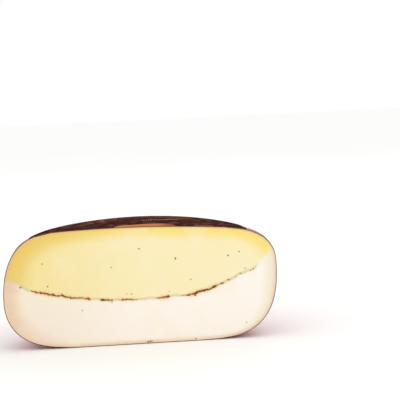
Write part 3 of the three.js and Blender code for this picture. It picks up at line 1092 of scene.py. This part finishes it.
class GOUDA_OT_rind_coat(bpy.types.Operator):
    """Model the rind coat with its creases"""
    bl_idname = "gouda.rind_coat"
    bl_label = "Rind coat"

    def execute(self, context):
        relief, creases = crease_field()
        sections, skin = [], []
        for step, angle in enumerate(np.linspace(0, math.pi, COAT_STEPS + 1)):
            outer = coat_rows(rind_outline(angle), COAT_ROWS)
            inner = coat_rows(curd_outline(angle), COAT_INNER_ROWS)
            sections.append(np.concatenate([moved_in(outer, relief[step]), inner[::-1]]))
            along = np.concatenate([travelled(outer), travelled(inner)[::-1]])
            around = np.full_like(along, angle * WHEEL_RADIUS)
            worn = np.concatenate([creases[step], np.zeros(len(inner))])
            skin.append(np.stack([around, along, worn * MM], axis=1))

        def section_at(angle):
            return sections[round(angle / math.pi * COAT_STEPS)]

        piece = half_turn("rind_coat", section_at, COAT_STEPS, skin=np.concatenate(skin))
        finish_piece(piece, rind_look(), "rind")
        return {"FINISHED"}


class GOUDA_OT_label(bpy.types.Operator):
    """Model the round paper label, cut through with the wheel"""
    bl_idname = "gouda.label"
    bl_label = "Label"

    def execute(self, context):
        piece = half_turn("paper_label", label_section, LABEL_STEPS)
        finish_piece(piece, label_look(), "label_paper", "label")
        return {"FINISHED"}


# Where the camera stands, and how the half wheel lies in its 400 by 400 pixel picture
PICTURE_SIDE = 400
FOCAL_LENGTH_PX = 1245
LOOKED_AT = Vector((0, 0, 54 * MM))
LOOKED_AT_PX = (140.2, 274.8)
CAMERA_DISTANCE = 1.2
CAMERA_ABOVE = math.radians(9)
CAMERA_LEAN = math.radians(3.15)
SENSOR_WIDTH = 36  # millimetres, as a camera's lens is given
FLOOR_SIDE = 12

# Each soft lamp's name, place, width and watts
LAMPS = (("key_light", (0.9, -1.3, 1.5), 0.9, 2), ("back_light", (0.6, 1.3, 1.4), 0.9, 3))


class GOUDA_OT_stage(bpy.types.Operator):
    """Set up the pale floor, the soft lights and the camera"""
    bl_idname = "gouda.stage"
    bl_label = "Stage"

    def execute(self, context):
        self.lay_floor()
        for lamp in LAMPS:
            self.hang_lamp(*lamp)
        self.tint_surroundings(context.scene)
        self.stand_camera(context.scene)
        return {"FINISHED"}

    def lay_floor(self):
        bpy.ops.object.select_all(action="DESELECT")
        bpy.ops.mesh.primitive_plane_add(size=FLOOR_SIDE)
        floor = bpy.context.object
        floor.name = floor.data.name = "studio_floor"
        floor.data.materials.append(floor_look())

    def hang_lamp(self, name, place, width, watts):
        bpy.ops.object.light_add(type="AREA", location=place)
        lamp = bpy.context.object
        lamp.name = lamp.data.name = name
        lamp.data.shape = "DISK"
        lamp.data.size = width
        lamp.data.energy = watts
        lamp.rotation_euler = (LOOKED_AT - Vector(place)).to_track_quat("-Z", "Y").to_euler()

    def tint_surroundings(self, scene):
        world = bpy.data.worlds.new("studio")
        scene.world = world
        world.use_nodes = True
        background = world.node_tree.nodes["Background"]
        background.inputs["Color"].default_value = (1, 1, 1, 1)
        background.inputs["Strength"].default_value = 1.0
        scene.view_settings.view_transform = "Standard"

    def stand_camera(self, scene):
        look = Vector((0, math.cos(CAMERA_ABOVE), -math.sin(CAMERA_ABOVE)))
        bpy.ops.object.camera_add(location=LOOKED_AT - look * CAMERA_DISTANCE)
        camera = bpy.context.object
        camera.name = "camera"
        camera.data.sensor_width = SENSOR_WIDTH
        camera.data.lens = SENSOR_WIDTH * FOCAL_LENGTH_PX / PICTURE_SIDE
        camera.data.clip_start = 10 * MM
        middle = PICTURE_SIDE / 2
        ray = Vector((LOOKED_AT_PX[0] - middle, middle - LOOKED_AT_PX[1], -FOCAL_LENGTH_PX))
        level = look.to_track_quat("-Z", "Y")
        leaning = level @ Quaternion((0, 0, 1), -CAMERA_LEAN)
        camera.rotation_mode = "QUATERNION"
        camera.rotation_quaternion = leaning @ ray.rotation_difference(Vector((0, 0, -1)))
        scene.camera = camera


class GOUDA_PT_panel(bpy.types.Panel):
    """Lists the pieces of the half wheel"""
    bl_idname = "GOUDA_PT_panel"
    bl_label = "Gouda half wheel"
    bl_space_type = "VIEW_3D"
    bl_region_type = "UI"
    bl_category = "Gouda"

    def draw(self, context):
        for operator in OPERATORS:
            self.layout.operator(operator.bl_idname)
        for group in GROUPS:
            settings = getattr(context.scene, group)
            for name in settings.__annotations__:
                self.layout.prop(settings, name)


GROUPS = {
    "gouda_rind": GoudaRind,
    "gouda_coffee": GoudaCoffee,
    "gouda_label": GoudaLabel,
    "gouda_colours": GoudaColours,
}
OPERATORS = (
    GOUDA_OT_curds,
    GOUDA_OT_coffee_bed,
    GOUDA_OT_coffee_grains,
    GOUDA_OT_rind_coat,
    GOUDA_OT_label,
    GOUDA_OT_stage,
)


def register():
    for made in (*GROUPS.values(), *OPERATORS, GOUDA_PT_panel):
        bpy.utils.register_class(made)
    for name, group in GROUPS.items():
        setattr(bpy.types.Scene, name, bpy.props.PointerProperty(type=group))


def unregister():
    for name in GROUPS:
        delattr(bpy.types.Scene, name)
    for made in reversed((*GROUPS.values(), *OPERATORS, GOUDA_PT_panel)):
        bpy.utils.unregister_class(made)


def main():
    register()
    bpy.ops.gouda.curds()
    bpy.ops.gouda.coffee_bed()
    bpy.ops.gouda.coffee_grains()
    bpy.ops.gouda.rind_coat()
    bpy.ops.gouda.label()
    bpy.ops.gouda.stage()


if __name__ == "__main__":
    main()
